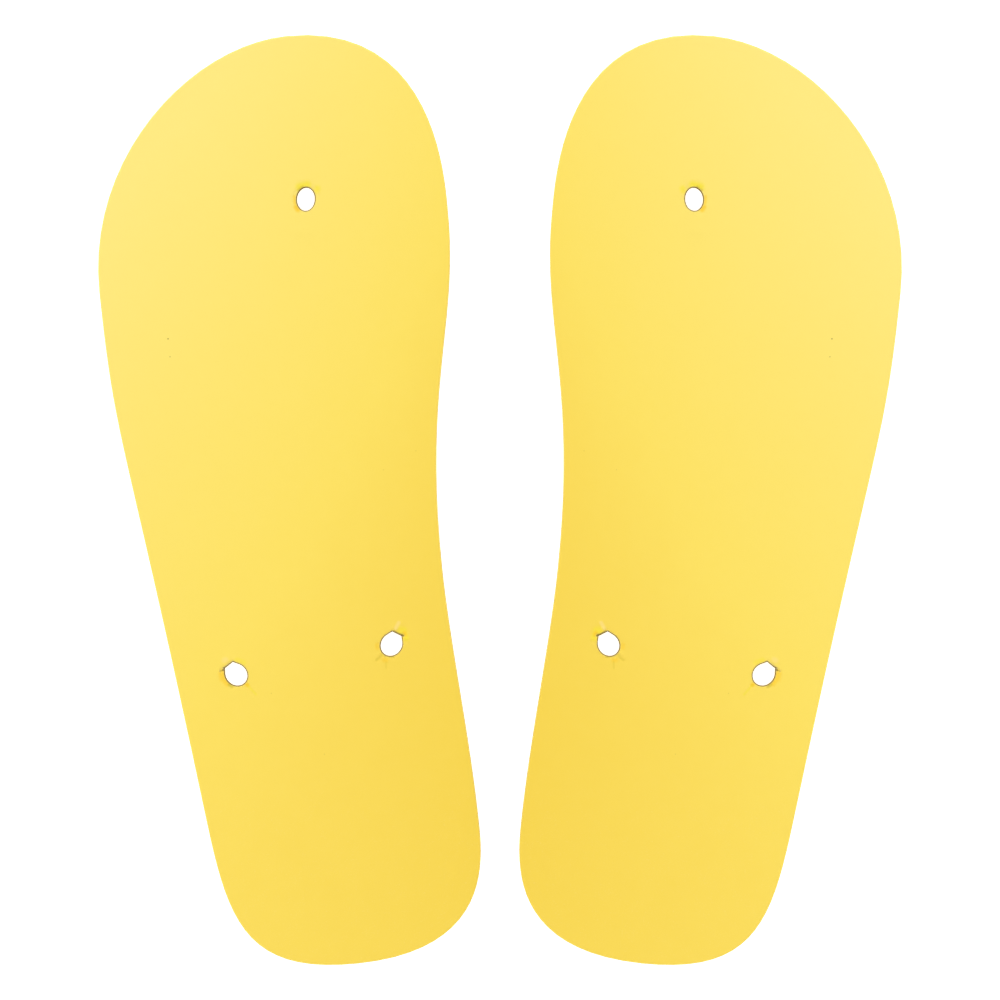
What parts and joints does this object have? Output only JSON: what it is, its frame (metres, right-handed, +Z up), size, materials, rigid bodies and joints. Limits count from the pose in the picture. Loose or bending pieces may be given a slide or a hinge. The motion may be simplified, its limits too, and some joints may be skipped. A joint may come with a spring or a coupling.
{
  "type": "flip flop soles",
  "caption": "Pair of flat, bare foam flip flop soles, laminated and die-cut, with strap holes, plug seats and a zigzag tread underneath.",
  "frame": {"origin": "on the ground, midway between the two soles and midway along them", "axes": "+Z up, +Y towards the toes, +X towards the right sole"},
  "size_m": [0.242, 0.28, 0.015],
  "materials": {
    "footbed_foam": "matte closed-cell foam sheet, faint grain",
    "midsole_foam": "matte die-cut foam, open cut cells",
    "outsole_foam": "matte moulded foam with a tread"
  },
  "bodies": {
    "left_sole": {"left_footbed": "footbed_foam", "left_midsole": "midsole_foam", "left_outsole": "outsole_foam"},
    "right_sole": {"right_footbed": "footbed_foam", "right_midsole": "midsole_foam", "right_outsole": "outsole_foam"}
  },
  "joints": [
    {"name": "right_sole_lift", "type": "slide", "parent": "left_sole", "child": "right_sole", "axis": [0, 0, 1], "range_m": [0, 0.15]}
  ]
}
